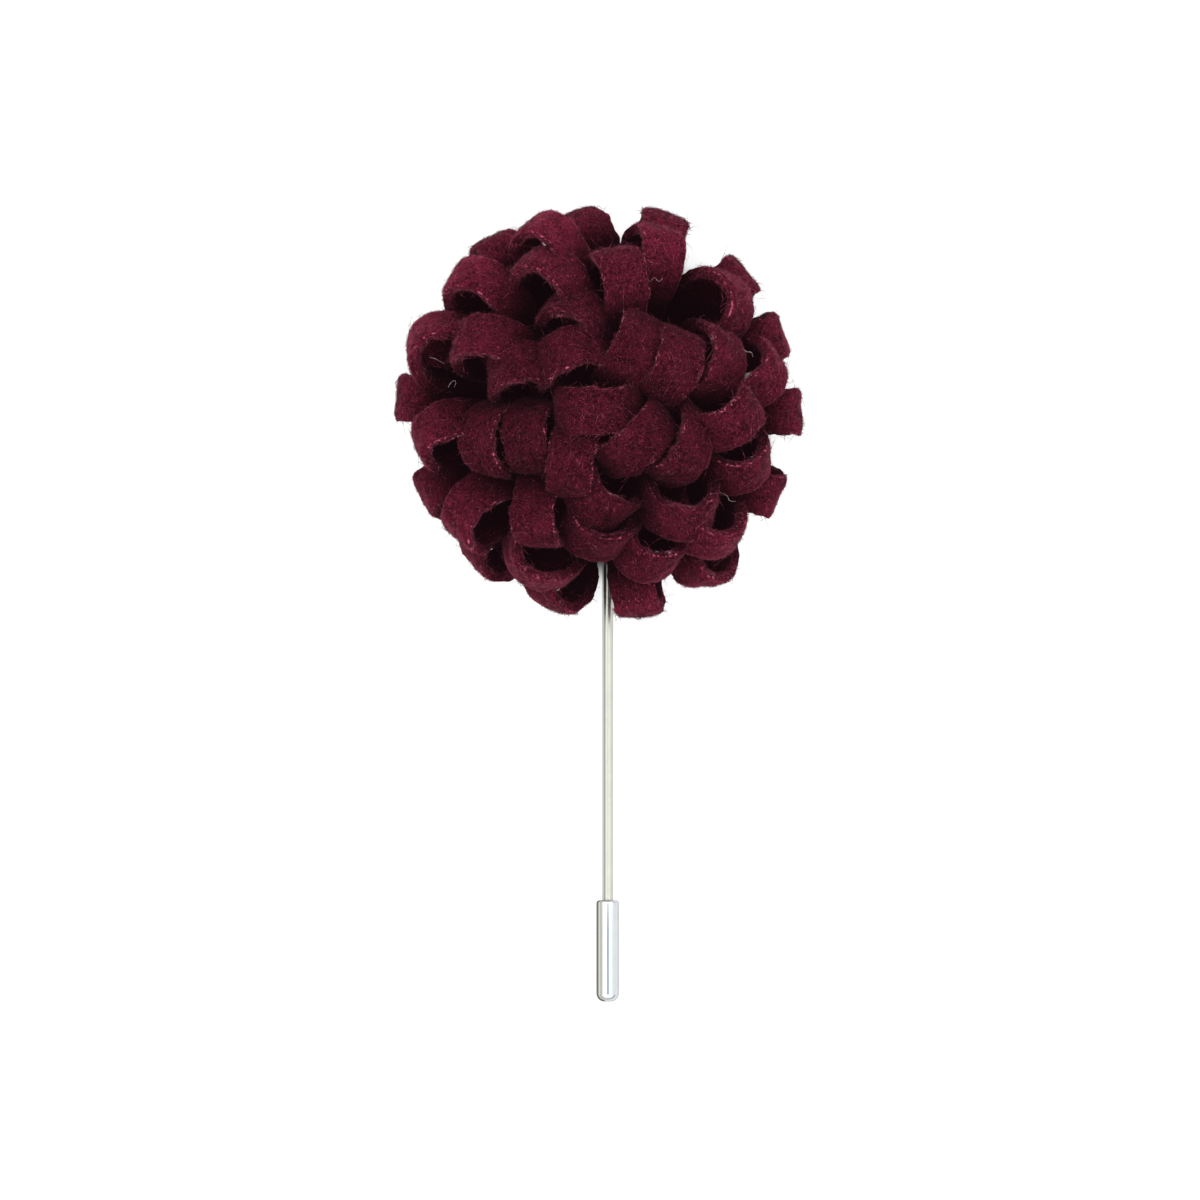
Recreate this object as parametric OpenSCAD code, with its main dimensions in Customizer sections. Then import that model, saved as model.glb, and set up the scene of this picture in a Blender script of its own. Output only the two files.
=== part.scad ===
// Lapel pin: a flower of looped felt bands on a straight stick pin with a cap over its point.
// It lies on its back: the felt backing rests on z = 0, the flower looks up +Z and the pin points along -Y.
// The origin is the middle of the backing's rear face.

/* [Felt] */
// Thickness of the wool felt
felt_t = 1.1; // [1:0.1:1.1]
// Width of a felt band between its two slits
band_w = 4.7; // [4.5:0.2:4.9]
// Height of the wound strip below its slits
base_h = 5.2; // [5:0.2:5.4]
// Radius of the felt backing disc
backing_r = 13; // [12:0.5:13.5]
// Air between pieces that lie against each other
gap = 0.1; // [0.05:0.05:0.15]

/* [Pin] */
// Diameter of the pin's wire
wire_d = 1.2; // [1.1:0.05:1.25]
// Sideways offset of the wire from the middle of the flower
wire_x = 0.9; // [0:0.1:1.5]
// Height of the wire's axis over the rear face
wire_z = 1.5; // [1.4:0.05:1.6]
// Radius of the pad that is soldered on the wire
pad_r = 5; // [4:0.5:5]
// Thickness of the pad
pad_t = 0.6; // [0.5:0.1:0.7]
// Distance from the flower's middle to the tip of the point
point_reach = 63.1; // [62:0.1:63.2]

/* [Cap] */
// Outer diameter of the cap
cap_d = 2.5; // [2.3:0.1:2.7]
// Length of the cap
cap_l = 11.2; // [11:0.1:12]
// Distance from the flower's middle to the cap's closed end
cap_reach = 65; // [64.8:0.1:66]
// Running clearance between the wire and the cap's bore
cap_clear = 0.05; // [0.02:0.01:0.08]

/* [Hidden] */
felt_color = [0.36, 0.12, 0.19];
metal_color = [0.8, 0.81, 0.83];
round_fn = 64;
cut_over = 1;

// The pin: how far its wire runs past the middle, its ground point, and the pad's solder joint
wire_r = wire_d / 2;
wire_top = 3;
point_l = 3;
point_r = 0.05;
solder_in = 0.2;
pad_z = wire_z + wire_r - solder_in;
groove_r = wire_r + gap;

// The cap: its bore, the bevel of its mouth, and the rounding of its closed end
cap_r = cap_d / 2;
cap_bore_l = 9.8;
cap_lip = 0.3;
cap_nose_r = 0.9;
cap_mouth = cap_reach - cap_l;

// The wound base of the strip, built from wedges
winding_z = felt_t + gap;
winding_r = 13.6;
winding_parts = 24;

// A loop's outline: its steps, how they crowd towards its top, and how far its legs stand apart at the root
loop_steps = 10;
top_crowding = 1.2;
leg_off = felt_t / 2 + 0.2;
root_in = 0.95;
bulge_peak = 0.65;
full_width_at = 1 / 3;

// The rows, which are the turns of the wound strip from its middle outwards.
// RING: radius of the turn. ROOT_W: width of its bands where they leave the winding.
// KNEE_OUT, KNEE_UP: how far its loops stand out and up before they bend over.
RING = 0;
ROOT_W = 1;
KNEE_OUT = 2;
KNEE_UP = 3;
ROWS = [
    [2.6, 3.6, 0.2, 4.6],
    [5, 4.1, 0.8, 4.2],
    [7.5, 4.6, 1.2, 3.4],
    [10, 4.7, 1.6, 2.2],
    [12.5, 4.7, 2, 0.4]
];

// The loops of each row, one line each, counted anticlockwise from +X.
// ROOT_A: angle of the root on its turn. X, Y, TOP: the loop's outermost point.
// TURN: how far the loop is twisted about its own length. BULGE: its outside width.
ROOT_A = 0;
X = 1;
Y = 2;
TOP = 3;
TURN = 4;
BULGE = 5;
LOOPS = [
    [
        [20, -2.4, -0.1, 18.8, -20, 8.8],
        [120, -3.6, 6.8, 17.8, 81, 7.8],
        [235, -3.4, -7.4, 17.4, 27, 8],
        [325, 4.6, -3.5, 18, 77, 8.8]
    ],
    [
        [22, 9.2, 6.8, 16.6, 44, 8.2],
        [70, 4.2, 7.4, 17.4, -6, 8.6],
        [118, -2.8, 12, 15.2, 48, 7.6],
        [160, -10.4, 5, 15.8, 38, 7.2],
        [203, -8.2, -3.4, 16.4, 73, 7.6],
        [268, 0.8, -11.2, 15.2, 54, 7.2],
        [336, 10.4, -4.2, 16.2, 90, 8.4]
    ],
    [
        [28, 14.2, 6.6, 14.2, 62, 7.8],
        [75, 2, 17, 14.2, 26, 7.2],
        [114, -6.6, 16.8, 13.8, 47, 8],
        [150, -14.6, 8.2, 14.2, 33, 8],
        [194, -13.4, -4, 14.4, 80, 7.6],
        [232, -6.9, -13.8, 13.8, 37, 7.4],
        [272, -0.1, -14.9, 13.4, 78, 7.8],
        [312, 10.8, -12, 13.8, 56, 8],
        [352, 16.5, 0.2, 14, 45, 7.8]
    ],
    [
        [14, 19.3, 5.2, 11, 54, 7],
        [44, 14.8, 13.8, 11, 70, 8],
        [72, 6.7, 19.6, 11.4, 28, 7.2],
        [106, -6.8, 20.6, 11.2, 48, 7.6],
        [137, -15.2, 15.2, 11.4, 36, 7.6],
        [164, -20, 8.2, 11, 66, 8],
        [192, -19.6, -3, 11, 36, 7.4],
        [222, -15.6, -13, 11, 32, 7.8],
        [250, -7.4, -18.4, 10.8, 84, 8.2],
        [287, 7, -17, 11, 60, 7.6],
        [317, 14.2, -14.4, 10.8, 52, 7.4],
        [344, 17.6, -6.2, 11.2, 50, 7.4]
    ],
    [
        [0, 21.6, 0.1, 4.8, 0, 6.6],
        [24, 19.7, 8.6, 4.8, 6, 6.6],
        [47, 15.8, 15.1, 4.8, 0, 6.2],
        [71, 7.2, 21.3, 4.8, 6, 6.6],
        [88, -2.9, 21.4, 4.8, 20, 6.6],
        [123, -12, 18.6, 4.8, 20, 6.2],
        [157, -18.8, 7.2, 4.8, 10, 6.4],
        [177, -21.7, 1.7, 4.8, 0, 6.6],
        [205, -18.9, -9.5, 4.8, 20, 6.6],
        [231, -12.9, -16.9, 4.8, 50, 6.6],
        [256, -4.7, -21.2, 5.4, 50, 6.6],
        [283, 4.5, -21.9, 5.8, 10, 6],
        [314, 12, -18.5, 4.8, 50, 6.8],
        [333, 19.3, -9, 4.8, 8, 6.6]
    ]
];

function unit(v) = v / norm(v);
function ease(s) = s * s * (3 - 2 * s);
function turned(a, b, angle) = a * cos(angle) + b * sin(angle);
function outward(loop) = [cos(loop[ROOT_A]), sin(loop[ROOT_A]), 0];

// The line that a loop stands along: from its root in the turn, over the knee, to its outermost point
function root(row, loop) = outward(loop) * row[RING] + [0, 0, winding_z + base_h - root_in];
function knee(row, loop) = root(row, loop) + outward(loop) * row[KNEE_OUT] + [0, 0, row[KNEE_UP]];
function tip(loop) = [loop[X], loop[Y], loop[TOP] - felt_t / 2];
function spine(row, loop, s) =
    root(row, loop) * (1 - s) * (1 - s) + knee(row, loop) * 2 * s * (1 - s) + tip(loop) * s * s;
function rise(row, loop, s) =
    unit((knee(row, loop) - root(row, loop)) * (1 - s) + (tip(loop) - knee(row, loop)) * s);

// The loop's own directions at the share s of its height: across its bulge, and across its band
function side(row, loop, s) = unit(cross([-outward(loop)[1], outward(loop)[0], 0], rise(row, loop, s)));
function bulge_dir(row, loop, s) =
    turned(side(row, loop, s), cross(rise(row, loop, s), side(row, loop, s)), loop[TURN] * ease(s));
function width_dir(row, loop, s) = cross(rise(row, loop, s), bulge_dir(row, loop, s));

// The middle of the felt at the angle t around the loop: 0 and 360 are its two roots, 180 its top
function share(t) = (1 - cos(t)) / 2;
function apart(loop, t) =
    (loop[BULGE] - felt_t) / 2 * sin(t) * share(t) / bulge_peak + leg_off * cos(t / 2);
function felt_line(row, loop, t) =
    spine(row, loop, share(t)) + bulge_dir(row, loop, share(t)) * apart(loop, t);
function felt_run(row, loop, t) = unit(felt_line(row, loop, t + 1) - felt_line(row, loop, t - 1));

// Four corners of the band's section there: it widens from its root to its full width
function felt_section(row, loop, t) =
    let (
        middle = felt_line(row, loop, t),
        wide = width_dir(row, loop, share(t)),
        thick = unit(cross(felt_run(row, loop, t), wide)),
        w = row[ROOT_W] + (band_w - row[ROOT_W]) * ease(min(1, share(t) / full_width_at)),
        half_w = wide * w / 2,
        half_t = thick * felt_t / 2
    )
    [middle - half_w - half_t, middle + half_w - half_t, middle + half_w + half_t, middle - half_w + half_t];

// The steps lie closer together near the loop's top, where the felt bends most
function around(i) =
    let (s = 2 * i / loop_steps - 1)
    180 + 180 * sign(s) * pow(abs(s), top_crowding);

// Both faces of the felt are split along the same diagonal, so that a twisted band keeps its thickness
module felt_loop(row, loop) {
    last = loop_steps * 4;
    points = [for (i = [0:loop_steps]) each felt_section(row, loop, around(i))];
    walls = [for (i = [0:loop_steps - 1], k = [0:3])
        let (a = 4 * i + k, b = 4 * i + (k + 1) % 4)
        each (k < 2 ? [[b, a, b + 4], [b + 4, a, a + 4]] : [[b, a, a + 4], [b + 4, b, a + 4]])];
    ends = [[0, 1, 2], [0, 2, 3], [last + 2, last + 1, last], [last + 3, last + 2, last]];
    polyhedron(points, concat(walls, ends));
}

module wedge(i) {
    wedge_a = 360 / winding_parts;
    hull()
        translate([0, 0, winding_z])
            linear_extrude(base_h)
                polygon([[0, 0], for (k = [i, i + 1]) winding_r * [cos(k * wedge_a), sin(k * wedge_a)]]);
}

module winding() {
    for (i = [0:winding_parts - 1]) wedge(i);
}

// The winding is pressed in where the pad and the wire lie against it
module pin_bed() {
    translate([wire_x, 0, 0])
        cylinder(r = pad_r + gap, h = pad_z + pad_t + gap, $fn = round_fn);
    translate([wire_x - groove_r, -winding_r - cut_over, 0])
        cube([2 * groove_r, winding_r + cut_over, wire_z + groove_r]);
}

module looped_flower() {
    color(felt_color) {
        difference() {
            winding();
            pin_bed();
        }
        for (i = [0:len(ROWS) - 1], loop = LOOPS[i]) felt_loop(ROWS[i], loop);
    }
}

module backing_disc() {
    color(felt_color)
        difference() {
            cylinder(r = backing_r, h = felt_t, $fn = round_fn);
            translate([wire_x, wire_top + gap, wire_z])
                rotate([90, 0, 0])
                    cylinder(r = groove_r, h = backing_r + wire_top + cut_over, $fn = round_fn);
        }
}

module stick_pin() {
    shaft_l = point_reach - point_l + wire_top;
    color(metal_color) {
        translate([wire_x, wire_top, wire_z])
            rotate([90, 0, 0]) {
                cylinder(r = wire_r, h = shaft_l, $fn = round_fn);
                translate([0, 0, shaft_l])
                    cylinder(r1 = wire_r, r2 = point_r, h = point_l, $fn = round_fn);
            }
        translate([wire_x, 0, pad_z])
            cylinder(r = pad_r, h = pad_t, $fn = round_fn);
    }
}

// The cap is spun about its own axis: z = 0 is its mouth here, and its closed end is rounded
module pin_cap() {
    color(metal_color)
        translate([wire_x, -cap_mouth, wire_z])
            rotate([90, 0, 0])
                difference() {
                    rotate_extrude($fn = round_fn)
                        polygon(concat(
                            [[0, 0], [cap_r - cap_lip, 0], [cap_r, cap_lip]],
                            [for (a = [0:15:90])
                                [cap_r + cap_nose_r * (cos(a) - 1), cap_l + cap_nose_r * (sin(a) - 1)]],
                            [[0, cap_l]]
                        ));
                    translate([0, 0, -cut_over])
                        cylinder(r = wire_r + cap_clear, h = cap_bore_l + cut_over, $fn = round_fn);
                }
}

looped_flower();
backing_disc();
stick_pin();
pin_cap();
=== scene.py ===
import math
import random

import bpy
import numpy as np
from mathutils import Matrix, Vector


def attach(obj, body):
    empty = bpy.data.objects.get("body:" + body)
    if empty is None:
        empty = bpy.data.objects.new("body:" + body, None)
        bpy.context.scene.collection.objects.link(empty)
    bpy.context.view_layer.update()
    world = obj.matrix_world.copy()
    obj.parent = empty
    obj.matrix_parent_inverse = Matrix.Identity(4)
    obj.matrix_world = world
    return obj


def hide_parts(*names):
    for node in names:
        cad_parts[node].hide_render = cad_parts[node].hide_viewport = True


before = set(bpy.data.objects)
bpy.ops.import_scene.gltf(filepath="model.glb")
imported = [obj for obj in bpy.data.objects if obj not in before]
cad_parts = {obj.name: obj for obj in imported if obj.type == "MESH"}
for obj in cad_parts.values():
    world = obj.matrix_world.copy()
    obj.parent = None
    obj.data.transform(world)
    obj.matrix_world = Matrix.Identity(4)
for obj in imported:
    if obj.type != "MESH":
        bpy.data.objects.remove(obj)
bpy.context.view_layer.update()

# The camera looks straight down on the pin, which lies on its back.
# A long lens far above it keeps the outer loops from leaning outwards.
MM = 0.001
VIEW_WIDTH = 132 * MM
VIEW_HEIGHT = 1.5
VIEW_X = 0.055 * MM
VIEW_Y = -20.68 * MM
FELT_MIDDLE_Z = 6 * MM
SENSOR_WIDTH = 36
bpy.ops.object.camera_add(location=(VIEW_X, VIEW_Y, VIEW_HEIGHT), rotation=(0, 0, 0))
camera = bpy.context.object
camera.name = "camera"
camera.data.sensor_width = SENSOR_WIDTH
camera.data.lens = SENSOR_WIDTH * (VIEW_HEIGHT - FELT_MIDDLE_Z) / VIEW_WIDTH
bpy.context.scene.camera = camera

# The wound strip: wool felt 1.1 mm thick, folded lengthwise and wound up five times, each turn stepping out
# over the last. Only its uncut lower part is made here. It is glued in itself and on the backing.
FELT_T = 1.1
GAP = 0.1
BASE_Z = FELT_T + GAP
BASE_H = 5.2
TURN_RADII = [2.6, 5, 7.5, 10, 12.5]
STEP_FROM = 338
STEP_TO = 358
STRIP_END = 333
PLY_T = 1.04
PLY_ACROSS = 3
PLY_ALONG = 420
EDGE_ROUND = 0.15
# The felt's uneven hand, as layers of (amount, size of the lumps)
PLY_HAND = [(0.05, 0.9)]


class Socket:
    """One output of a shader node, so that a material's maths reads as plain sums."""

    def __init__(self, finish, socket):
        self.finish = finish
        self.socket = socket

    def sum(self, operation, a, b):
        return self.finish.node("Math", {"operation": operation}, {0: a, 1: b})

    def __add__(self, other):
        return self.sum("ADD", self, other)

    def __mul__(self, other):
        return self.sum("MULTIPLY", self, other)

    def __sub__(self, other):
        return self.sum("SUBTRACT", self, other)

    def __rsub__(self, other):
        return self.sum("SUBTRACT", other, self)

    def __pow__(self, other):
        return self.sum("POWER", self, other)

    def __gt__(self, other):
        return self.sum("GREATER_THAN", self, other)


class Finish:
    """A material, or the world's light, and the way its nodes are added."""

    def __init__(self, name, world=False):
        self.material = bpy.data.worlds.new(name) if world else bpy.data.materials.new(name)
        self.material.use_nodes = True
        self.tree = self.material.node_tree
        self.tree.nodes.clear()

    def node(self, kind, settings=None, inputs=None, out=0):
        made = self.tree.nodes.new("ShaderNode" + kind)
        for name, value in (settings or {}).items():
            if name == "stops":
                ramp = made.color_ramp.elements
                while len(ramp) < len(value):
                    ramp.new(0.5)
                for stop, (place, color) in zip(ramp, value):
                    stop.position = place
                    stop.color = (*color, 1)
            else:
                setattr(made, name, value)
        for name, value in (inputs or {}).items():
            if isinstance(value, Socket):
                self.tree.links.new(value.socket, made.inputs[name])
            else:
                made.inputs[name].default_value = value
        return Socket(self, made.outputs[out]) if made.outputs else made

    def mix(self, share, a, b):
        a, b = [(*x, 1) if isinstance(x, tuple) else x for x in (a, b)]
        return self.node("Mix", {"data_type": "RGBA"}, {0: share, 6: a, 7: b}, out=2)

    def grain(self, where, scale, detail=2.0, rough=0.5):
        return self.node("TexNoise", {"noise_dimensions": "3D"},
                         {"Vector": where, "Scale": scale, "Detail": detail, "Roughness": rough})

    def ease(self, value, low, high):
        return self.node("MapRange", {"interpolation_type": "SMOOTHSTEP"},
                         {"Value": value, "From Min": low, "From Max": high})

    def finish(self, shader):
        self.node("OutputMaterial", inputs={"Surface": shader})
        return self.material


# The dome that the flower fills, for the shade painted deep in the flower. As shares of the way out to it: up
# to where the felt is painted fully dark, and from where on no shade is painted.
DOME_R = 24.5 * MM
DOME_H = 18.8 * MM
DARK_TO = 0.74
LIGHT_FROM = 1.08
# Painted light: how bright the felt's colour is painted at the flower's axis, and how much brighter it is
# painted over two stretches outwards
AXIS_LIGHT = 0.96
OUTER_LOOPS = (8 * MM, 18 * MM)
OUTER_LIGHT = 0.28
OUTERMOST_LOOPS = (17 * MM, 24 * MM)
OUTERMOST_LIGHT = 0.95
# A painted sheen: the paler colour mixed in where the felt is seen edge-on. And a faint painted glow that
# lifts the flower's dark depths
PAINTED_RIM_SHEEN = (0.25, 0.038, 0.072)
PAINTED_DEPTH_GLOW = (0.0050, 0.0020, 0.0028, 1)
BLACK = (0, 0, 0)
# How many grains of noise go into a metre, from 2 mm blotches to 0.15 mm fibres
BLOTCHES = 520
PATCHES = 650
TUFTS = 2900
MATS = 3400
LONG_FIBRES = 6500
FIBRE_STRETCH = 9
FIBRE_LAY = (0.9, 0.3, 0.5)
# How many strands lie across a band, and their two layers: the slant, and how often a strand ends along it.
# Their pattern drifts with the height, so that no two bands are alike.
STRANDS_ACROSS = 42
STRAND_LAYERS = ((0.25, 26), (-0.3, 20))
DRIFT = 900


def painted_shade_depth(felt, place):
    """How deep a point lies under the flower's domed outline: 0 outside, 1 well inside, painted dark as
    shade.
    """
    x, y, z = [felt.node("SeparateXYZ", inputs={0: place}, out=axis) for axis in (0, 1, 2)]
    reach = ((x * x + y * y) * DOME_R ** -2 + z * z * DOME_H ** -2) ** 0.5
    return 1 - felt.ease(reach, DARK_TO, LIGHT_FROM)


def painted_outer_light(felt, place, color):
    """The color, painted brighter outwards as painted light: the outer loops stand free, and their nap
    catches light from the side.
    """
    from_axis = felt.node("VectorMath", {"operation": "LENGTH"}, {
        0: felt.node("VectorMath", {"operation": "MULTIPLY"}, {0: place, 1: (1, 1, 0)})}, out=1)
    outer = felt.ease(from_axis, *OUTER_LOOPS) * OUTER_LIGHT
    outermost = felt.ease(from_axis, *OUTERMOST_LOOPS) * OUTERMOST_LIGHT
    light = outer + outermost + AXIS_LIGHT
    return felt.node("VectorMath", {"operation": "SCALE"}, {0: color, "Scale": light})


def felt_finish(name, deep, mid, light, speck):
    """Wool felt: mottled dye, matted fibres in all directions, and paler specks along the cut edges.

    The map of the cut runs across the band, and along it with 0.5 at the loop's top. Shade is painted in away
    from that top, where less light gets down; painted shade also darkens the felt deep in the flower, painted
    light brightens it outwards, and a painted sheen and a faint painted glow are added."""
    felt = Finish(name)
    place = felt.node("TexCoord", out=3)
    cut_map = felt.node("UVMap", {"uv_map": "UVMap"})
    from_edge, from_top = [felt.node("Math", {"operation": "ABSOLUTE"},
                                     {0: felt.node("SeparateXYZ", inputs={0: cut_map}, out=axis) - 0.5})
                           for axis in (0, 1)]
    mottle = felt.grain(place, BLOTCHES, 3, 0.6)
    matted = felt.grain(place, MATS, 4, 0.7)
    drift = felt.node("VectorMath", {"operation": "MULTIPLY_ADD"}, {0: place, 1: (0, 0, DRIFT), 2: cut_map})
    strands = []
    for slant, ends in STRAND_LAYERS:
        laid = felt.node("Mapping", inputs={
            "Vector": drift, "Rotation": (0, 0, slant), "Scale": (STRANDS_ACROSS, ends, 1)})
        strands.append(felt.grain(laid, 1.3, 3, 0.65))
    turned = felt.node("Mapping", {"vector_type": "TEXTURE"},
                       {"Vector": place, "Rotation": FIBRE_LAY, "Scale": (1, FIBRE_STRETCH, 1)})
    strands.append(felt.grain(turned, LONG_FIBRES, 2, 0.5))
    fibres = felt.node("Math", {"operation": "MAXIMUM"}, {0: strands[0], 1: strands[1]})
    fibres = felt.node("Math", {"operation": "MAXIMUM"}, {0: fibres, 1: strands[2]})
    color = felt.mix(felt.ease(mottle * 0.3 + matted * 0.7, 0.4, 0.58), deep, mid)
    color = felt.mix(felt.ease(fibres, 0.6, 0.76) * 0.85, color, light)
    # Painted sheen: a paler colour mixed in where the felt turns edge-on.
    color = felt.mix(felt.ease(felt.node("LayerWeight", out=1), 0.45, 0.95) * 0.38, color, PAINTED_RIM_SHEEN)
    # Painted light: the colour is made brighter towards the outer loops.
    color = painted_outer_light(felt, place, color)
    corner = felt.ease(from_edge, 0.45, 0.485)
    single = felt.ease(felt.grain(place, TUFTS, 2, 0.6), 0.52, 0.61)
    patches = felt.ease(felt.grain(place, PATCHES), 0.44, 0.58)
    color = felt.mix(corner * single * patches * 0.8, color, speck)
    # Painted shade: the felt is darkened away from the loop's top.
    color = felt.mix(felt.ease(from_top, 0.07, 0.3) * 0.8, color, BLACK)
    # Painted shade: the felt is darkened deep under the flower's dome.
    color = felt.mix(painted_shade_depth(felt, place) * 0.9, color, BLACK)
    bump = felt.node("Bump", inputs={"Strength": 0.9, "Distance": 0.12 * MM,
                                     "Height": matted * 0.6 + fibres * 0.4})
    return felt.finish(felt.node("BsdfPrincipled", inputs={
        "Base Color": color, "Roughness": 1.0, "Specular IOR Level": 0.02, "Normal": bump,
        # A faint painted glow: the felt gives off a little light, so that its depths are never black.
        "Emission Color": PAINTED_DEPTH_GLOW, "Emission Strength": 1.0,
        "Sheen Weight": 0.02, "Sheen Roughness": 0.5, "Sheen Tint": (0.9, 0.3, 0.4, 1)}))


FELT_FINISH = felt_finish("wool_felt", deep=(0.012, 0.0009, 0.0026), mid=(0.060, 0.0046, 0.0128),
                          light=(0.23, 0.030, 0.060), speck=(0.52, 0.11, 0.18))
# Painted shade: a darker copy of the felt for the faces inside the loops, where little light gets in.
SHADED_INSIDE_FINISH = felt_finish("wool_felt_inside_painted_shade", deep=(0.006, 0.0006, 0.0015), mid=(0.024, 0.0024, 0.0056),
                            light=(0.06, 0.010, 0.018), speck=(0.12, 0.025, 0.04))
# Painted shade: a darker copy of the felt for the cut edges, which face sideways.
SHADED_CUT_FINISH = felt_finish("wool_felt_cut_edge_painted_shade", deep=(0.010, 0.0009, 0.0024), mid=(0.042, 0.0038, 0.0098),
                         light=(0.14, 0.022, 0.040), speck=(0.16, 0.030, 0.050))
WAVES = 16
FULL_TURN = 6.28


def apply_modifier(piece, kind, **settings):
    bpy.context.view_layer.objects.active = piece
    modifier = piece.modifiers.new(kind.title(), kind)
    for name, value in settings.items():
        setattr(modifier, name, value)
    bpy.ops.object.modifier_apply(modifier=modifier.name)


def round_edges(piece, width):
    apply_modifier(piece, "BEVEL", width=width * MM, segments=2, limit_method="ANGLE",
                   angle_limit=math.radians(50))


def flat_strip(name, across, along):
    """A flat strip of felt with its map of the cut, ready to be bent."""
    bpy.ops.object.select_all(action="DESELECT")
    bpy.ops.mesh.primitive_grid_add(x_subdivisions=across, y_subdivisions=along, size=1)
    strip = bpy.context.object
    strip.name = name
    strip.data.name = name
    flat = np.empty(len(strip.data.vertices) * 3)
    strip.data.vertices.foreach_get("co", flat)
    flat = flat.reshape(-1, 3)
    return strip, flat[:, 0] + 0.5, flat[:, 1] + 0.5


def place_points(piece, points):
    """Moves the mesh's points to places given in millimetres."""
    piece.data.vertices.foreach_set("co", (points * MM).ravel())
    piece.data.update()


def unit(v):
    return v / np.linalg.norm(v, axis=-1, keepdims=True)


def lumps(points, size, seed):
    """A smooth uneven field over points in millimetres, about -1 to 1, with lumps of the given size."""
    draw = np.random.default_rng(seed)
    ways = unit(draw.normal(size=(WAVES, 3))) * draw.uniform(0.7, 1.5, (WAVES, 1)) * (math.pi / size)
    return np.sin(points @ ways.T + draw.uniform(0, FULL_TURN, WAVES)).sum(axis=1) / math.sqrt(WAVES)


def read_points(piece):
    """The mesh's points in millimetres, with their normals."""
    points = np.empty(len(piece.data.vertices) * 3)
    piece.data.vertices.foreach_get("co", points)
    normals = np.empty(len(piece.data.vertices) * 3)
    piece.data.vertices.foreach_get("normal", normals)
    return points.reshape(-1, 3) / MM, normals.reshape(-1, 3)


def roughen(piece, *layers, seed):
    """Gives felt its uneven hand: every point moves a little along its normal. A layer is (amount, size)."""
    points, normals = read_points(piece)
    lift = sum(amount * lumps(points, size, seed + i) for i, (amount, size) in enumerate(layers))
    place_points(piece, points + normals * lift[:, None])


def join_pieces(name, parts):
    """Makes one smooth piece of the parts."""
    bpy.ops.object.select_all(action="DESELECT")
    for part in parts:
        part.select_set(True)
    bpy.context.view_layer.objects.active = parts[0]
    if len(parts) > 1:
        bpy.ops.object.join()
    whole = bpy.context.object
    whole.name = name
    whole.data.name = name
    bpy.ops.object.shade_smooth()
    return whole


def wound_radius(angle):
    turn = min(int(angle // 360), len(TURN_RADII) - 1)
    within = angle - 360 * turn
    here = TURN_RADII[turn]
    after = TURN_RADII[min(turn + 1, len(TURN_RADII) - 1)]
    share = min(1, max(0, (within - STEP_FROM) / (STEP_TO - STEP_FROM)))
    return here + (after - here) * share * share * (3 - 2 * share)


def wound_ply(name, offset, seed):
    """One ply of the folded strip, wound from the middle outwards."""
    turns = 360 * (len(TURN_RADII) - 1) + STRIP_END
    ply, up, along = flat_strip(name, PLY_ACROSS, PLY_ALONG)
    angles = along * turns
    radii = np.array([wound_radius(a) for a in angles]) + offset
    points = np.stack([radii * np.cos(np.radians(angles)), radii * np.sin(np.radians(angles)),
                       BASE_Z + BASE_H * up], axis=1)
    place_points(ply, points)
    apply_modifier(ply, "SOLIDIFY", thickness=PLY_T * MM, offset=0)
    round_edges(ply, EDGE_ROUND)
    roughen(ply, *PLY_HAND, seed=seed)
    return ply


plies = [wound_ply("inner_ply", -FELT_T / 2, 1), wound_ply("outer_ply", FELT_T / 2, 3)]
wound_strip = join_pieces("wound_strip", plies)
wound_strip.data.materials.append(FELT_FINISH)
strip_length = sum(2 * math.pi * r for r in TURN_RADII) * MM
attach(wound_strip, "flower")
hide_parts("looped_flower")

# The loops: the folded strip is slit into bands 4.7 mm wide, and every band stands up from its turn as a
# round loop. It leans outwards over its knee and twists about its own length, as the bands crowd each other.
BAND_W = 4.7
ROOT_DEPTH = 0.95
ROOT_Z = BASE_Z + BASE_H - ROOT_DEPTH
LEG_GAP = 0.4
LEG_OFF = (FELT_T + LEG_GAP) / 2
BULGE_PEAK = 0.65
FULL_WIDTH_AT = 1 / 3
# RING, ROOT_W, KNEE_OUT, KNEE_UP of each turn
ROWS = [
    [2.6, 3.6, 0.2, 4.6],
    [5, 4.1, 0.8, 4.2],
    [7.5, 4.6, 1.2, 3.4],
    [10, 4.7, 1.6, 2.2],
    [12.5, 4.7, 2, 0.4],
]
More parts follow.
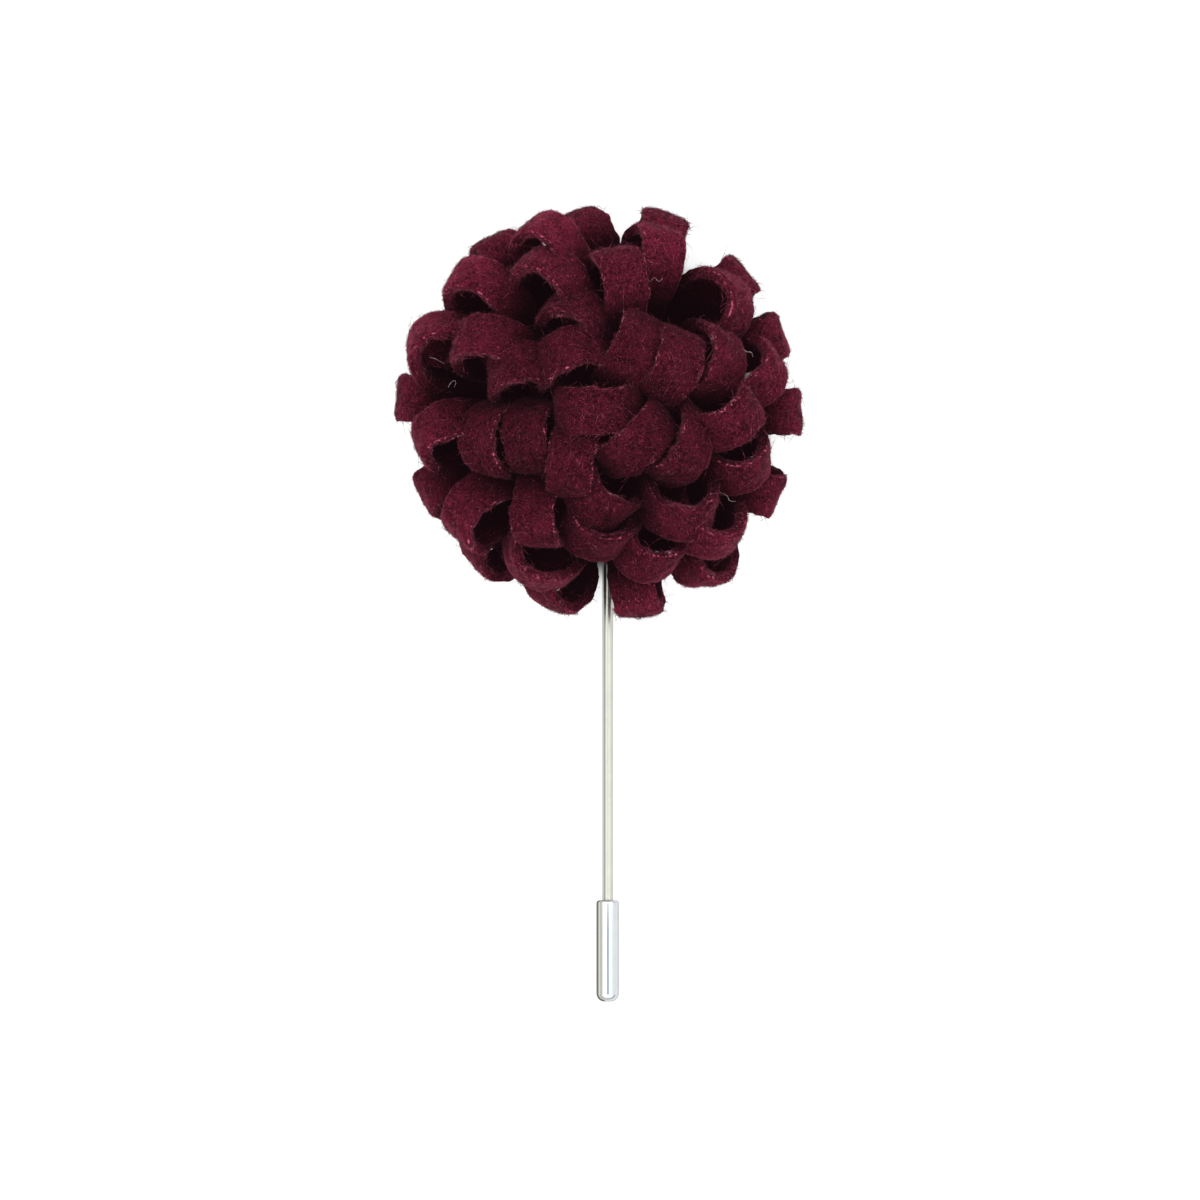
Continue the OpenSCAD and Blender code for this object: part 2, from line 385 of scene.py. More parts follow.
# ROOT_A, X, Y, TOP, TURN, BULGE of each loop
LOOPS = [
    [
        [20, -2.4, -0.1, 18.8, -20, 8.8],
        [120, -3.6, 6.8, 17.8, 81, 7.8],
        [235, -3.4, -7.4, 17.4, 27, 8],
        [325, 4.6, -3.5, 18, 77, 8.8],
    ],
    [
        [22, 9.2, 6.8, 16.6, 44, 8.2],
        [70, 4.2, 7.4, 17.4, -6, 8.6],
        [118, -2.8, 12, 15.2, 48, 7.6],
        [160, -10.4, 5, 15.8, 38, 7.2],
        [203, -8.2, -3.4, 16.4, 73, 7.6],
        [268, 0.8, -11.2, 15.2, 54, 7.2],
        [336, 10.4, -4.2, 16.2, 90, 8.4],
    ],
    [
        [28, 14.2, 6.6, 14.2, 62, 7.8],
        [75, 2, 17, 14.2, 26, 7.2],
        [114, -6.6, 16.8, 13.8, 47, 8],
        [150, -14.6, 8.2, 14.2, 33, 8],
        [194, -13.4, -4, 14.4, 80, 7.6],
        [232, -6.9, -13.8, 13.8, 37, 7.4],
        [272, -0.1, -14.9, 13.4, 78, 7.8],
        [312, 10.8, -12, 13.8, 56, 8],
        [352, 16.5, 0.2, 14, 45, 7.8],
    ],
    [
        [14, 19.3, 5.2, 11, 54, 7],
        [44, 14.8, 13.8, 11, 70, 8],
        [72, 6.7, 19.6, 11.4, 28, 7.2],
        [106, -6.8, 20.6, 11.2, 48, 7.6],
        [137, -15.2, 15.2, 11.4, 36, 7.6],
        [164, -20, 8.2, 11, 66, 8],
        [192, -19.6, -3, 11, 36, 7.4],
        [222, -15.6, -13, 11, 32, 7.8],
        [250, -7.4, -18.4, 10.8, 84, 8.2],
        [287, 7, -17, 11, 60, 7.6],
        [317, 14.2, -14.4, 10.8, 52, 7.4],
        [344, 17.6, -6.2, 11.2, 50, 7.4],
    ],
    [
        [0, 21.6, 0.1, 4.8, 0, 6.6],
        [24, 19.7, 8.6, 4.8, 6, 6.6],
        [47, 15.8, 15.1, 4.8, 0, 6.2],
        [71, 7.2, 21.3, 4.8, 6, 6.6],
        [88, -2.9, 21.4, 4.8, 20, 6.6],
        [123, -12, 18.6, 4.8, 20, 6.2],
        [157, -18.8, 7.2, 4.8, 10, 6.4],
        [177, -21.7, 1.7, 4.8, 0, 6.6],
        [205, -18.9, -9.5, 4.8, 20, 6.6],
        [231, -12.9, -16.9, 4.8, 50, 6.6],
        [256, -4.7, -21.2, 5.4, 50, 6.6],
        [283, 4.5, -21.9, 5.8, 10, 6],
        [314, 12, -18.5, 4.8, 50, 6.8],
        [333, 19.3, -9, 4.8, 8, 6.6],
    ],
]
BAND_ACROSS = 12
BAND_ALONG = 80
BAND_ROUND = 0.16
BAND_HAND = [(0.06, 1.1), (0.035, 0.45)]
LOOP_STEPS = 721
LOOK_AHEAD = 0.01
INSIDE_SLOT = 1
CUT_SLOT = 2
# How far each cut edge wanders, as a share of half the width, over what length, and how far apart the two
# edges are in the uneven field. Then how the band is warped, in millimetres: how it cups, how it twists to
# and fro, how far its edges are pressed in, and its corners at the loop's top.
EDGE_WANDER = 0.05
EDGE_WAVE = 1.3
EDGES_APART = 40
CUP = (-0.1, 0.14)
SWAY = 0.12
CROWN = 0.12
TIP_CORNER = 0.14


def ease(s):
    return s * s * (3 - 2 * s)


def loop_frame(row, loop, t):
    """The middle of the band at the angle t around its loop, its width direction and its width there."""
    ring, root_w, knee_out, knee_up = row
    root_a, x, y, top, turn, bulge = loop
    out = np.array([math.cos(math.radians(root_a)), math.sin(math.radians(root_a)), 0])
    root = out * ring + np.array([0, 0, ROOT_Z])
    knee = root + out * knee_out + np.array([0, 0, knee_up])
    tip = np.array([x, y, top - FELT_T / 2])
    s = ((1 - np.cos(t)) / 2)[:, None]
    spine = root * (1 - s) ** 2 + knee * 2 * s * (1 - s) + tip * s * s
    rise = unit((knee - root) * (1 - s) + (tip - knee) * s)
    side = unit(np.cross(np.array([-out[1], out[0], 0]), rise))
    angle = np.radians(turn) * ease(s)
    bulge_dir = side * np.cos(angle) + np.cross(rise, side) * np.sin(angle)
    apart = (bulge - FELT_T) / 2 * np.sin(t)[:, None] * s / BULGE_PEAK + LEG_OFF * np.cos(t / 2)[:, None]
    width = root_w + (BAND_W - root_w) * ease(np.minimum(1, s / FULL_WIDTH_AT))
    return spine + bulge_dir * apart, np.cross(rise, bulge_dir), width


def bent_band(name, row, loop, seed):
    """One band, bent from the flat. Returns it with its own length."""
    band, across, along = flat_strip(name, BAND_ACROSS, BAND_ALONG)
    fine = np.linspace(0, 2 * math.pi, LOOP_STEPS)
    line = loop_frame(row, loop, fine)[0]
    run = np.concatenate([[0], np.cumsum(np.linalg.norm(np.diff(line, axis=0), axis=1))])
    t = np.interp(along * run[-1], run, fine)
    middle, wide, width = loop_frame(row, loop, t)
    ahead = unit(loop_frame(row, loop, np.minimum(t + LOOK_AHEAD, 2 * math.pi))[0]
                 - loop_frame(row, loop, np.maximum(t - LOOK_AHEAD, 0))[0])
    thick = unit(np.cross(ahead, wide))
    u = (across * 2 - 1)[:, None]
    free = np.sin(t / 2)[:, None]
    draw = random.Random(seed)
    cup = draw.uniform(*CUP)
    sway = draw.uniform(0, FULL_TURN)
    edge_line = np.stack([along * run[-1], np.round(across) * EDGES_APART, across * 0], axis=1)
    edge = lumps(edge_line, EDGE_WAVE, seed)[:, None]
    points = middle + wide * width / 2 * u * (1 + EDGE_WANDER * edge * np.abs(u) ** 3)
    points = points + thick * free * (cup * (u * u - 0.35) + SWAY * np.sin(3 * t[:, None] + sway) * u)
    points = points + thick * (free * CROWN * u ** 8 + free ** 6 * TIP_CORNER * u ** 10)
    place_points(band, points)
    for finish in (FELT_FINISH, SHADED_INSIDE_FINISH, SHADED_CUT_FINISH):
        band.data.materials.append(finish)
    apply_modifier(band, "SOLIDIFY", thickness=FELT_T * MM, offset=0, use_even_offset=True,
                   material_offset=INSIDE_SLOT, material_offset_rim=CUT_SLOT)
    round_edges(band, BAND_ROUND)
    roughen(band, *BAND_HAND, seed=seed)
    return band, run[-1]


felt_rows = []
for number, (row, loops) in enumerate(zip(ROWS, LOOPS), start=1):
    bands = [bent_band(f"band_{number}_{i}", row, loop, number * 20 + i) for i, loop in enumerate(loops)]
    felt_row = join_pieces(f"felt_row_{number}", [band for band, length in bands])
    band_length = sum(length for band, length in bands) / len(bands)
    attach(felt_row, "flower")
    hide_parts("looped_flower")
    felt_rows.append(felt_row)

# The nap: short wool fibres stand out of the felt all over, longer ones lie curled on it, and pale ones that
# the dye hardly took stand in tufts along the cut edges.
NAP_T = 0.045
FIBRE_T = 0.038
TUFT_T = 0.05
FIBRE_CORNERS = (0, 2.094, 4.189)
OFF_FLOOR = 0.1
ROOT_IN = 0.02
# How many stand on each loop
SHORT_FIBRES = 2300
CURLED_FIBRES = 150
ARCHED_FIBRES = 3
PALE_TUFTS = 65
# How long they are: the least and the most of a straight one, and the steps, the length and the curl of a
# longer one
SHORT_REACH = (0.1, 0.4)
TUFT_REACH = (0.1, 0.3)
CURLED = (3, 1.3, 0.6)
ARCHED = (5, 2.4, 0.15)


def nap_finish(name, low, high):
    """Single wool fibres, with painted shade that darkens them deep between the loops, and a faint painted
    glow.
    """
    nap = Finish(name)
    place = nap.node("TexCoord", out=3)
    tone = nap.mix(nap.ease(nap.grain(place, 1800, 2, 0.5), 0.42, 0.68), low, high)
    # Painted shade: fibres deep in the flower are darkened.
    tone = nap.mix(painted_shade_depth(nap, place) * 0.9, tone, BLACK)
    return nap.finish(nap.node("BsdfPrincipled", inputs={
        "Base Color": tone, "Roughness": 0.8, "Specular IOR Level": 0.2,
        # A faint painted glow: the fibres give off a little light, so that the depths are never black.
        "Emission Color": PAINTED_DEPTH_GLOW, "Emission Strength": 1.0}))


NAP_FINISH = nap_finish("wool_nap", low=(0.060, 0.0058, 0.0145), high=(0.34, 0.060, 0.105))
TUFT_FINISH = nap_finish("pale_wool_tufts", low=(0.30, 0.055, 0.095), high=(0.85, 0.38, 0.46))


def fibre_mesh(name, rows, thick):
    """Closed three-sided fibres. A row has one point of each fibre, in millimetres; the last has the tips."""
    along = unit(rows[-1] - rows[0])
    across = unit(np.cross(along, np.array([0.31, 0.87, 0.38])))
    round_it = np.cross(along, across)
    rings = []
    for middle in rows[:-1]:
        for corner in FIBRE_CORNERS:
            rings.append(middle + (across * math.cos(corner) + round_it * math.sin(corner)) * thick / 2)
    points = np.stack([*rings, rows[-1]], axis=1).reshape(-1, 3) * MM
    points[:, 2] = np.maximum(points[:, 2], OFF_FLOOR * MM)
    last = 3 * (len(rows) - 2)
    walls = [(2, 1, 0)] + [(last + a, last + b, last + 3) for a, b in ((0, 1), (1, 2), (2, 0))]
    for ring in range(0, last, 3):
        for a, b in ((0, 1), (1, 2), (2, 0)):
            walls += [(ring + a, ring + b, ring + b + 3), (ring + a, ring + b + 3, ring + a + 3)]
    faces = (np.array(walls)[None] + (last + 4) * np.arange(len(along))[:, None, None]).reshape(-1, 3)
    mesh = bpy.data.meshes.new(name)
    mesh.from_pydata(points.tolist(), [], faces.tolist())
    piece = bpy.data.objects.new(name, mesh)
    bpy.context.collection.objects.link(piece)
    return piece


def fibre_roots(piece, count, draw, on_cut=False):
    """Random places on a felt piece, with the way out of the felt there.

    Few stand deep in the flower and near the loops' roots, where nothing is seen of them, and many on the
    outermost walls. On the cut they stand in patches, most where the cut edge is turned away."""
    mesh = piece.data
    mesh.calc_loop_triangles()
    corners = np.empty(len(mesh.loop_triangles) * 3, dtype=np.int32)
    mesh.loop_triangles.foreach_get("vertices", corners)
    faces = np.empty(len(mesh.loop_triangles), dtype=np.int32)
    mesh.loop_triangles.foreach_get("polygon_index", faces)
    finishes = np.empty(len(mesh.polygons), dtype=np.int32)
    mesh.polygons.foreach_get("material_index", finishes)
    map_corners = np.empty(len(corners), dtype=np.int32)
    mesh.loop_triangles.foreach_get("loops", map_corners)
    cut_map = np.empty(len(mesh.loops) * 2)
    mesh.uv_layers["UVMap"].data.foreach_get("uv", cut_map)
    from_top = abs(cut_map.reshape(-1, 2)[map_corners[::3], 1] - 0.5)
    points, normals = read_points(piece)
    a, b, c = (points[corners.reshape(-1, 3)[:, i]] for i in range(3))
    cross = np.cross(b - a, c - a)
    area = np.linalg.norm(cross, axis=1)
    reach = np.sqrt((a[:, :2] ** 2).sum(axis=1) / (DOME_R / MM) ** 2 + (a[:, 2] / (DOME_H / MM)) ** 2)
    wanted = area * np.clip((reach - 0.6) / 0.27, 0.02, 2) * np.clip((0.36 - from_top) / 0.2, 0.1, 1)
    wanted *= 1 + 5 * (reach > 0.95) * (abs(cross[:, 2]) < 0.45 * area)
    if on_cut:
        patches = np.clip(lumps(a, 0.9, draw.integers(1000)) - 0.8, 0, 1)
        wanted *= patches * (finishes[faces] == CUT_SLOT) * (cross[:, 2] > -0.2 * area)
        wanted *= np.clip(0.9 - cross[:, 2] / area, 0.04, 1)
    picked = draw.choice(len(area), size=count, p=wanted / wanted.sum())
    share = draw.random((count, 2))
    share = np.where(share.sum(axis=1, keepdims=True) > 1, 1 - share, share)
    out = unit(cross[picked])
    places = a[picked] + (b - a)[picked] * share[:, :1] + (c - a)[picked] * share[:, 1:]
    return places - out * ROOT_IN, out


def short_fibres(name, roots, reach, thick, draw):
    """Straight fibres that stand out of the felt at every slant."""
    root, out = roots
    many = (len(root), 1)
    way = unit(unit(draw.normal(size=root.shape)) + out * draw.uniform(0.5, 2, many))
    return fibre_mesh(name, [root, root + way * draw.uniform(*reach, many)], thick)


def curled_fibres(name, roots, steps, reach, curl, draw):
    """Longer fibres that lie along the felt and bend to one side, some of them lifting off it."""
    root, out = roots
    many = (len(root), 1)
    lie = unit(np.cross(out, draw.normal(size=root.shape)))
    turn = np.cross(out, lie) * draw.normal(0, curl, many)
    step = np.exp(draw.normal(math.log(reach / steps), 0.35, many))
    rows = [root]
    for bend in range(steps):
        way = unit(lie + turn * bend + out * draw.uniform(-0.05, 0.25, many))
        rows.append(rows[-1] + way * step)
    return fibre_mesh(name, rows, FIBRE_T)


for number, felt_row in enumerate(felt_rows, start=1):
    loops_in_row = len(LOOPS[number - 1])
    draw = np.random.default_rng(number)
    short = short_fibres("short", fibre_roots(felt_row, SHORT_FIBRES * loops_in_row, draw), SHORT_REACH,
                         NAP_T, draw)
    curled = curled_fibres("curled", fibre_roots(felt_row, CURLED_FIBRES * loops_in_row, draw), *CURLED, draw)
    arched = curled_fibres("arched", fibre_roots(felt_row, ARCHED_FIBRES * loops_in_row, draw), *ARCHED, draw)
    nap = join_pieces(f"nap_row_{number}", [short, curled, arched])
    nap.data.materials.append(NAP_FINISH)
    tufts = short_fibres("pale", fibre_roots(felt_row, PALE_TUFTS * loops_in_row, draw, on_cut=True),
                         TUFT_REACH, TUFT_T, draw)
    tufts = join_pieces(f"pale_tufts_{number}", [tufts])
    tufts.data.materials.append(TUFT_FINISH)
    for fuzz in (nap, tufts):
        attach(fuzz, "flower")
        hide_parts("looped_flower")

# The stray hairs: a few long pale ones that the dye didn't take lie on the loops or stick out past them.
# Each is a row of its points in millimetres.
HAIR_T = 0.025
HAIRS = [
    [(5.0, 14.6, 13.4), (5.6, 14.2, 13.6), (6.0, 14.6, 13.7), (6.5, 14.2, 13.7), (6.9, 14.5, 13.5)],
    [(-18.6, 5.9, 11.2), (-18.1, 5.8, 11.5), (-17.5, 5.5, 11.6), (-17.0, 5.2, 11.4)],
    [(-16.6, 2.6, 12.0), (-16.2, 3.2, 12.4), (-15.8, 3.3, 12.3), (-15.9, 2.6, 12.1)],
    [(15.7, 6.8, 14.0), (16.1, 6.5, 14.3), (16.6, 6.4, 14.2), (16.8, 5.9, 14.0)],
    [(17.9, -2.5, 9.5), (19.0, -2.8, 9.9), (20.2, -2.6, 10.0), (21.4, -2.9, 9.7)],
    [(-16.9, -2.7, 12.6), (-16.4, -2.9, 12.9), (-15.8, -2.7, 12.9), (-15.3, -3.0, 12.6)],
    [(11.9, 8.8, 14.2), (12.4, 8.3, 14.5), (12.3, 7.7, 14.6), (12.7, 7.2, 14.4)],
    [(-9.6, -12.6, 11.2), (-9.1, -13.2, 11.5), (-8.9, -13.9, 11.4), (-8.4, -14.3, 11.1)],
    [(13.2, -8.9, 12.2), (13.9, -9.2, 12.5), (14.3, -9.8, 12.4), (14.9, -9.9, 12.1)],
    [(4.2, -21.0, 6.3), (4.5, -21.7, 6.6), (4.4, -22.2, 6.4), (4.9, -22.7, 5.8)],
    [(4.9, -21.1, 6.4), (4.8, -21.8, 6.6), (5.3, -22.1, 6.5), (5.2, -22.8, 5.8)],
    [(5.6, -21.3, 6.3), (5.3, -21.9, 6.6), (4.6, -22.0, 6.7), (3.9, -22.3, 6.3)],
]
HAIR_FINISH = nap_finish("undyed_wool_hair", low=(0.40, 0.30, 0.30), high=(0.85, 0.74, 0.70))
hairs = []
for points in HAIRS:
    bpy.ops.object.select_all(action="DESELECT")
    bpy.ops.curve.primitive_bezier_curve_add(location=(0, 0, 0))
    hair = bpy.context.object
    line = hair.data.splines[0].bezier_points
    line.add(len(points) - 2)
    for knot, point in zip(line, points):
        knot.co = Vector(point) * MM
        knot.handle_left_type = "AUTO"
        knot.handle_right_type = "AUTO"
    hair.data.bevel_depth = HAIR_T / 2 * MM
    hair.data.bevel_resolution = 1
    hair.data.resolution_u = 6
    hair.data.use_fill_caps = True
    bpy.ops.object.convert(target="MESH")
    hairs.append(bpy.context.object)
stray_hairs = join_pieces("stray_hairs", hairs)
stray_hairs.data.materials.append(HAIR_FINISH)
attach(stray_hairs, "flower")
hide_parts("looped_flower")

# The backing: a plain round of the same felt, glued over the back of the winding and the pin's pad.
# It lies on the floor, and the wire leaves it through a groove that it is pressed into.
BACKING_R = 13
BACKING_SIDES = 72
BACKING_RINGS = 12
# How unevenly it is trimmed, as a share of its radius, over what length and how far in from its rim. Then how
# far its upper face dips, and over what length.
TRIM = 0.006
TRIM_WAVE = 3
RIM_W = 2
SURFACE_DIP = 0.05
DIP_WAVE = 1.2
WIRE_X = 0.9
WIRE_Z = 1.5
WIRE_R = 0.6
WIRE_TOP = 3
GROOVE_R = WIRE_R + GAP
BACKING_FINISH = felt_finish("backing_wool_felt", deep=(0.030, 0.0042, 0.0085), mid=(0.070, 0.0095, 0.0195),
                             light=(0.12, 0.02, 0.038), speck=(0.3, 0.09, 0.13))
bpy.ops.object.select_all(action="DESELECT")
bpy.ops.mesh.primitive_circle_add(vertices=BACKING_SIDES, radius=BACKING_R * MM, fill_type="TRIFAN",
                                  location=(0, 0, 0))
backing_felt = bpy.context.object
backing_felt.name = "backing_felt"
backing_felt.data.name = "backing_felt"
bpy.ops.object.mode_set(mode="EDIT")
bpy.ops.mesh.select_all(action="SELECT")
bpy.ops.mesh.subdivide(number_cuts=BACKING_RINGS - 1)
bpy.ops.object.mode_set(mode="OBJECT")
apply_modifier(backing_felt, "SOLIDIFY", thickness=FELT_T * MM, offset=1)
round_edges(backing_felt, EDGE_ROUND)
points, normals = read_points(backing_felt)
rim = np.hypot(points[:, 0], points[:, 1]) > BACKING_R - RIM_W
trimmed = 1 + TRIM * lumps(points * (1, 1, 0), TRIM_WAVE, 7) * rim
upper = points[:, 2] > FELT_T / 2
in_groove = upper & (points[:, 1] < WIRE_TOP + GAP) & (abs(points[:, 0] - WIRE_X) < GROOVE_R)
sunk = np.sqrt(np.maximum(0, GROOVE_R ** 2 - (points[:, 0] - WIRE_X) ** 2))
points[:, 2] -= upper * np.abs(lumps(points, DIP_WAVE, 8)) * SURFACE_DIP
points[in_groove, 2] = np.minimum(points[in_groove, 2], WIRE_Z - sunk[in_groove])
points[:, :2] *= trimmed[:, None]
place_points(backing_felt, points)
bpy.ops.object.shade_smooth()
backing_felt.data.materials.append(BACKING_FINISH)
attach(backing_felt, "flower")
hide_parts("backing_disc")

# The stick pin: drawn steel wire 1.2 mm thick with a ground point, nickel plated and polished.
# A round pad is soldered across its head end, and is hidden in the felt.
POINT_REACH = 63.1
POINT_L = 3
POINT_R = 0.05
PAD_R = 5
PAD_T = 0.6
SOLDER_IN = 0.2
PAD_Z = WIRE_Z + WIRE_R - SOLDER_IN
WIRE_SIDES = 48
PAD_SIDES = 64
HEAD_BEVEL = 0.15
PAD_BEVEL = 0.1
# How many drawing lines, and how many patches of haze, go into a metre of the plating
DRAWN_LINES = (6000, 90, 6000)
HAZE = 500


def metal_finish(name, color, dull, rough, rim):
    """Plated metal: faint drawing lines, a thin uneven haze, and a painted reflection darker round its left
    side.

    Each step of the painted rim is where it starts, where it is full, and its painted colour."""
    metal = Finish(name)
    place = metal.node("TexCoord", out=3)
    drawn = metal.node("Mapping", inputs={"Vector": place, "Scale": DRAWN_LINES})
    lines = metal.grain(drawn, 1, 2, 0.5)
    haze = metal.grain(place, HAZE, 3, 0.6)
    bump = metal.node("Bump", inputs={"Strength": 0.12, "Distance": 0.01 * MM, "Height": lines})
    tone = metal.mix(metal.ease(haze, 0.35, 0.75), color, dull)
    left = metal.node("SeparateXYZ", inputs={0: metal.node("TexCoord", out=1)}) * -1 > 0.2
    grazing = metal.node("LayerWeight", out=1)
    # Painted reflection: darker colour mixed in along the left side at grazing angles.
    for start, full, painted_reflection in rim:
        tone = metal.mix(metal.ease(grazing, start, full) * left, tone, painted_reflection)
    return metal.finish(metal.node("BsdfPrincipled", inputs={
        "Base Color": tone, "Metallic": 1.0, "Roughness": haze * 0.08 + rough, "Normal": bump,
        "Specular Tint": (0.55, 0.56, 0.57, 1)}))


def pick_faces(piece, wanted):
    """Selects the faces for which wanted(middle, normal) holds, and goes into edit mode on them."""
    bpy.ops.object.select_all(action="DESELECT")
    piece.select_set(True)
    bpy.context.view_layer.objects.active = piece
    bpy.ops.object.mode_set(mode="EDIT")
    bpy.ops.mesh.select_mode(type="FACE")
    bpy.ops.mesh.select_all(action="DESELECT")
    bpy.ops.object.mode_set(mode="OBJECT")
    for face in piece.data.polygons:
        face.select = bool(wanted(face.center / MM, face.normal))
    bpy.ops.object.mode_set(mode="EDIT")


def settle(piece):
    """Leaves the piece's place in its mesh, with its object at the origin."""
    bpy.ops.object.select_all(action="DESELECT")
    piece.select_set(True)
    bpy.context.view_layer.objects.active = piece
    bpy.ops.object.transform_apply(location=True, rotation=True, scale=True)


shaft_l = POINT_REACH - POINT_L + WIRE_TOP
bpy.ops.object.select_all(action="DESELECT")
bpy.ops.mesh.primitive_cylinder_add(vertices=WIRE_SIDES, radius=WIRE_R * MM, depth=shaft_l * MM,
                                    location=(WIRE_X * MM, (WIRE_TOP - shaft_l / 2) * MM, WIRE_Z * MM),
                                    rotation=(math.pi / 2, 0, 0))
wire = bpy.context.object
settle(wire)
pick_faces(wire, lambda middle, normal: normal.y < -0.9)
bpy.ops.mesh.extrude_region_move(TRANSFORM_OT_translate={"value": (0, -POINT_L * MM, 0)})
bpy.ops.transform.resize(value=(POINT_R / WIRE_R, 1, POINT_R / WIRE_R))
bpy.ops.object.mode_set(mode="OBJECT")
pick_faces(wire, lambda middle, normal: normal.y > 0.9)
bpy.ops.mesh.bevel(offset=HEAD_BEVEL * MM, segments=3, affect="EDGES")
bpy.ops.object.mode_set(mode="OBJECT")
bpy.ops.object.select_all(action="DESELECT")
bpy.ops.mesh.primitive_cylinder_add(vertices=PAD_SIDES, radius=PAD_R * MM, depth=PAD_T * MM,
                                    location=(WIRE_X * MM, 0, (PAD_Z + PAD_T / 2) * MM))
pad = bpy.context.object
settle(pad)
pick_faces(pad, lambda middle, normal: abs(normal.z) > 0.9)
bpy.ops.mesh.bevel(offset=PAD_BEVEL * MM, segments=2, affect="EDGES")
bpy.ops.object.mode_set(mode="OBJECT")
pin_wire = join_pieces("pin_wire", [wire, pad])
bpy.ops.object.shade_smooth_by_angle(angle=math.radians(35))
# Its rim steps are painted reflection colours round the wire's left side.
NICKEL_FINISH = metal_finish(
    "nickel_plate", color=(0.53, 0.52, 0.45), dull=(0.49, 0.485, 0.42), rough=0.26,
    rim=[(0.03, 0.09, (0.33, 0.35, 0.33)), (0.22, 0.4, (0.50, 0.52, 0.51))])
pin_wire.data.materials.append(NICKEL_FINISH)
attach(pin_wire, "flower")
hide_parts("stick_pin")

# The cap: turned brass with a blind bore, chrome plated to a mirror. Its mouth has a small bevel and its
# closed end is rounded. It is pushed over the pin's point and held by friction.
CAP_R = 1.25
CAP_L = 11.2
CAP_REACH = 65
CAP_MOUTH = CAP_REACH - CAP_L
CAP_CLEAR = 0.05
CAP_BORE_R = WIRE_R + CAP_CLEAR
CAP_BORE_L = 9.8
CAP_LIP = 0.3
CAP_NOSE_R = 0.9
CAP_SIDES = 64
bpy.ops.object.select_all(action="DESELECT")
bpy.ops.mesh.primitive_cylinder_add(vertices=CAP_SIDES, radius=CAP_R * MM, depth=CAP_L * MM,
                                    location=(WIRE_X * MM, -(CAP_MOUTH + CAP_L / 2) * MM, WIRE_Z * MM),
                                    rotation=(math.pi / 2, 0, 0))
pin_cap = bpy.context.object
pin_cap.name = "polished_cap"
pin_cap.data.name = "polished_cap"
settle(pin_cap)
pick_faces(pin_cap, lambda middle, normal: normal.y < -0.9)
bpy.ops.mesh.bevel(offset=CAP_NOSE_R * MM, segments=8, affect="EDGES")
bpy.ops.object.mode_set(mode="OBJECT")
pick_faces(pin_cap, lambda middle, normal: normal.y > 0.9)
bpy.ops.mesh.bevel(offset=CAP_LIP * MM, segments=3, affect="EDGES")
bpy.ops.object.mode_set(mode="OBJECT")
pick_faces(pin_cap, lambda middle, normal: normal.y > 0.99)
bpy.ops.mesh.inset(thickness=(CAP_R - CAP_LIP - CAP_BORE_R) * MM)
bpy.ops.mesh.extrude_region_move(TRANSFORM_OT_translate={"value": (0, -CAP_BORE_L * MM, 0)})
bpy.ops.object.mode_set(mode="OBJECT")
bpy.ops.object.shade_smooth_by_angle(angle=math.radians(30))
# Its rim steps are painted reflection colours round the cap's left side.
CHROME_FINISH = metal_finish(
    "chrome_plate", color=(0.56, 0.575, 0.585), dull=(0.52, 0.54, 0.555), rough=0.03,
    rim=[(0.2, 0.3, (0.56, 0.53, 0.46)), (0.34, 0.48, (0.13, 0.135, 0.12))])
pin_cap.data.materials.append(CHROME_FINISH)
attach(pin_cap, "cap")
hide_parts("pin_cap")
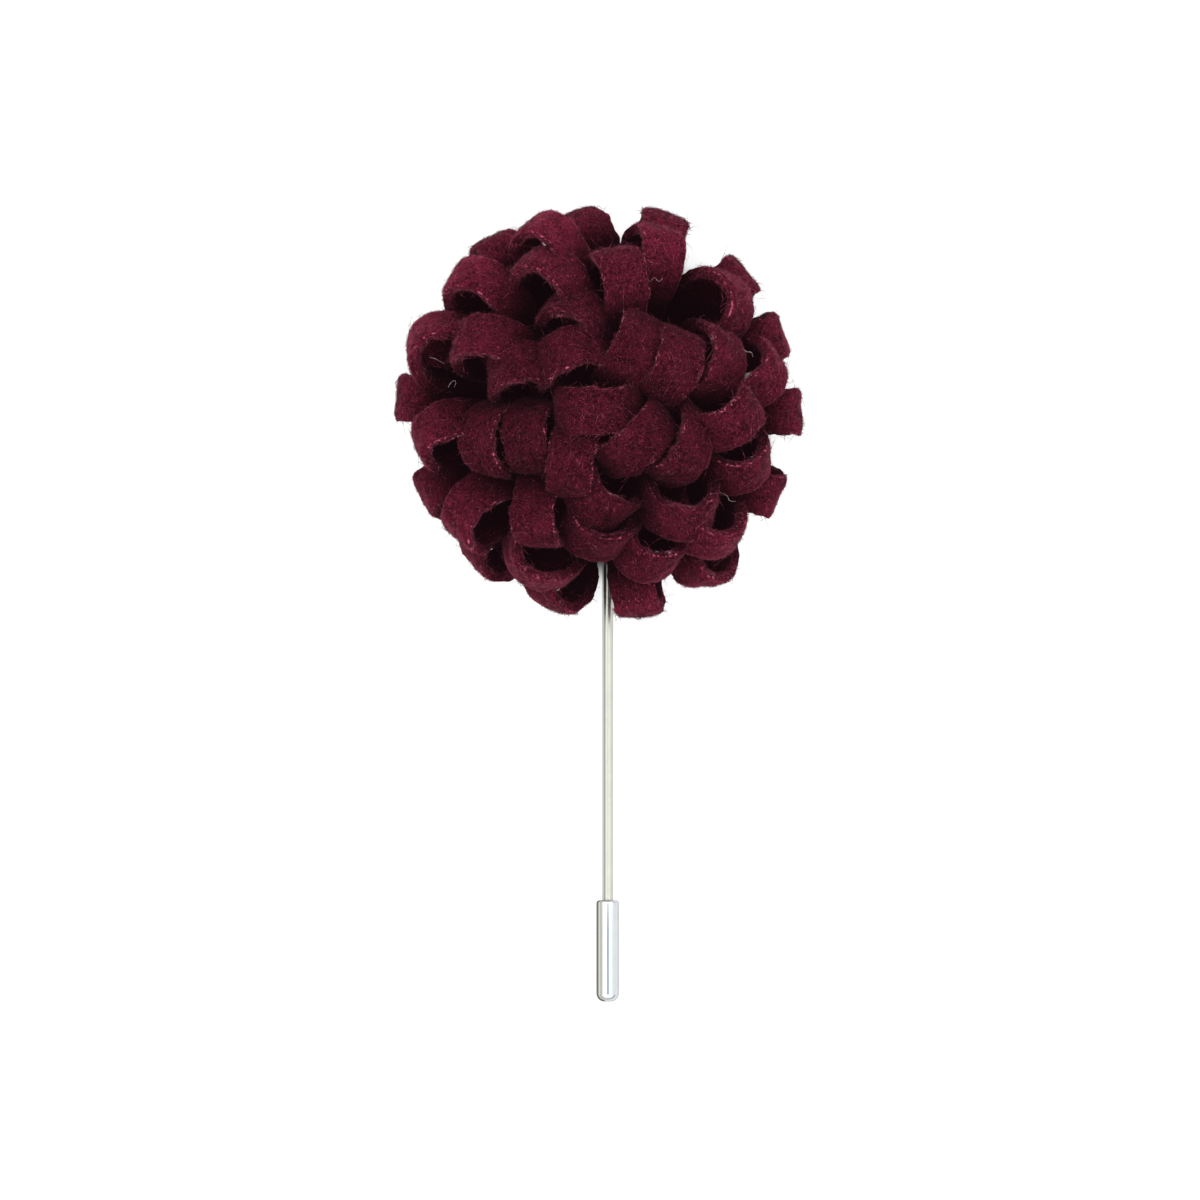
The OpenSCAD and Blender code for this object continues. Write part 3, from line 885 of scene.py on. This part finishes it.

# The floor is a plain white table, wide enough for every view. It glows a little, as a table lit from all
# round does. Under the flower a shadow is painted: its colour turns dark and tinted by the felt, and its
# glow fades out.
FLOOR_SIZE = 6
FLOOR_GLOW = 0.75
SHADE_R = 16
OPEN_R = 19.5
PAINTED_SHADOW = (0.07, 0.035, 0.04)
OPEN_PAINT = ((0.36, 0.36, 0.36), (0.38, 0.38, 0.38))
PAINT_GRAIN = 60
bpy.ops.object.select_all(action="DESELECT")
bpy.ops.mesh.primitive_plane_add(size=FLOOR_SIZE, location=(0, 0, 0))
floor = bpy.context.object
floor.name = "floor"
paint = Finish("white_table")
place = paint.node("TexCoord", out=3)
from_flower = paint.node("VectorMath", {"operation": "LENGTH"}, {0: place}, out=1)
open_floor = paint.ease(from_flower, SHADE_R * MM, OPEN_R * MM)
white = paint.mix(paint.grain(place, PAINT_GRAIN), *OPEN_PAINT)
floor.data.materials.append(paint.finish(paint.node("BsdfPrincipled", inputs={
    # Painted shadow under the flower: dark, felt-tinted colour and no glow there.
    "Base Color": paint.mix(open_floor, PAINTED_SHADOW, white), "Roughness": 0.8,
    "Emission Color": paint.mix(open_floor, BLACK, (1, 1, 1)), "Emission Strength": FLOOR_GLOW})))

# The light is a white tent, brightest overhead. Across the pin it has seams and flaps, which polished metal
# mirrors as stripes: each stop is an angle from overhead, to the left below 0, with the tent's colour there.
TENT_TOP = (1.22, 1.22, 1.22)
TENT_FOOT = (0.22, 0.22, 0.23)
TENT_GLOW = 1.6
SEAM_REACH = (0.12, 0.35)
TENT = [
    (-90, (0.77, 0.75, 0.62)),
    (-78, (0.55, 0.57, 0.50)),
    (-64, (0.52, 0.58, 0.56)),
    (-54, (0.88, 0.93, 0.92)),
    (-43, TENT_TOP),
    (-4, TENT_TOP),
    (-3, (0.12, 0.24, 0.50)),
    (9, (0.12, 0.22, 0.42)),
    (10, TENT_TOP),
    (42, (1.15, 1.15, 1.15)),
    (50, (0.97, 1.0, 1.0)),
    (61, (0.86, 0.90, 0.91)),
    (90, (0.80, 0.84, 0.84)),
]
tent = Finish("light_tent", world=True)
toward = [tent.node("SeparateXYZ", inputs={0: tent.node("TexCoord")}, out=axis) for axis in (0, 1, 2)]
from_top = tent.node("Math", {"operation": "ARCTAN2"}, {0: toward[0], 1: toward[2]}) * (0.5 / math.pi) + 0.5
stops = [(angle / 360 + 0.5, color) for angle, color in TENT]
seams = tent.node("ValToRGB", {"stops": stops}, {0: from_top})
lengthwise = tent.node("Math", {"operation": "ABSOLUTE"}, {0: toward[1]})
cloth = tent.mix(tent.ease(toward[2], -0.1, 0.75), TENT_FOOT, TENT_TOP)
cloth = tent.mix(tent.ease(lengthwise, *SEAM_REACH), seams, cloth)
tent.node("OutputWorld", inputs={0: tent.node("Background", inputs={"Color": cloth, "Strength": TENT_GLOW})})
bpy.context.scene.world = tent.material
bpy.context.scene.view_settings.view_transform = "Standard"
